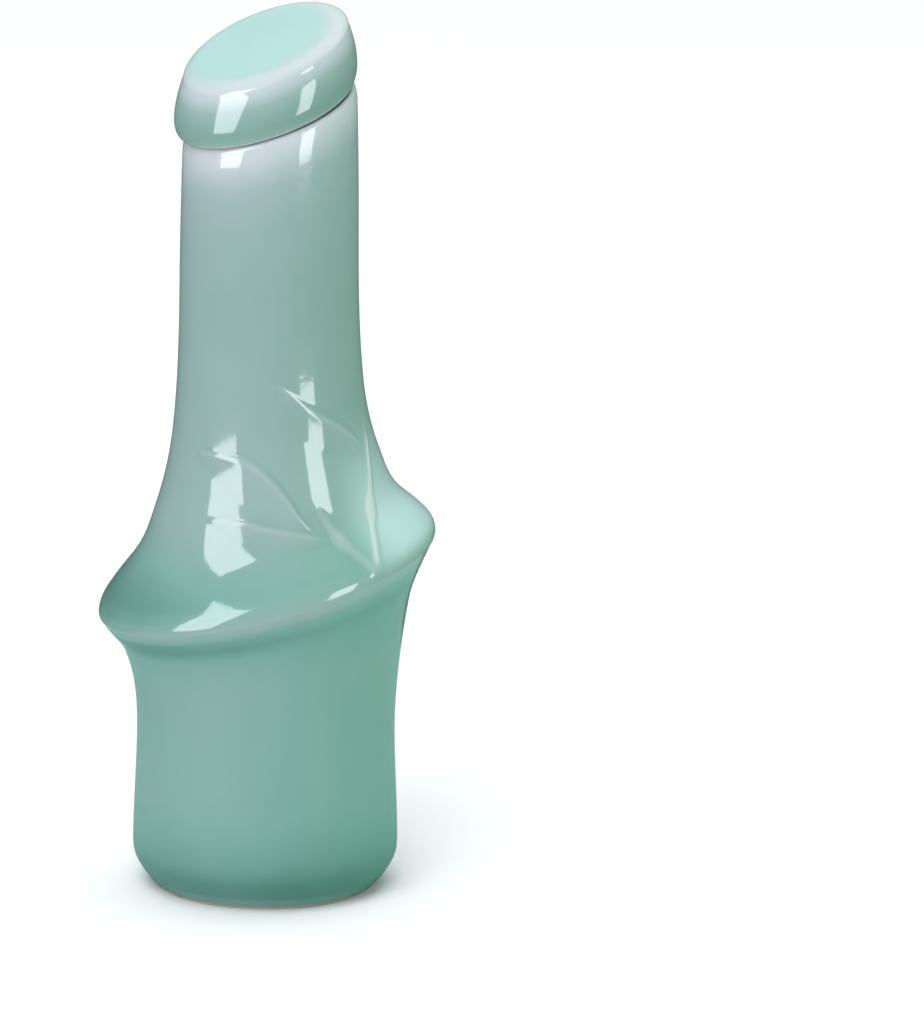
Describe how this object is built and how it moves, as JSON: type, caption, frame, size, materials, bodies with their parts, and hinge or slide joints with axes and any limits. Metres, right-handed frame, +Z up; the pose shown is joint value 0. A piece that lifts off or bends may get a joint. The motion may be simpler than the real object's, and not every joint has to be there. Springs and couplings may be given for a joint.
{
  "type": "sake bottle",
  "caption": "Celadon sake bottle shaped like a bamboo joint, with a slanted node ring, a slanted mouth and a wedge-shaped stopper that lifts off.",
  "frame": {"origin": "centre of the foot's resting plane", "axes": "+Z up along the bottle's axis, +X towards the high side of the node ring and mouth, front at -Y"},
  "size_m": [0.0742, 0.0742, 0.1957],
  "materials": {
    "celadon_body": "pale green celadon glaze over porcelain, glossy, unglazed at the foot",
    "celadon_stopper": "pale green celadon glaze over porcelain, glossy",
    "silicone": "translucent food-grade silicone, satin"
  },
  "bodies": {
    "bottle": {"bottle_body": "celadon_body"},
    "stopper": {"stopper": "celadon_stopper", "seal_ring_upper": "silicone", "seal_ring_lower": "silicone"}
  },
  "joints": [
    {"name": "stopper_lift", "type": "slide", "parent": "bottle", "child": "stopper", "axis": [0, 0, 1], "range_m": [0, 0.05]}
  ]
}
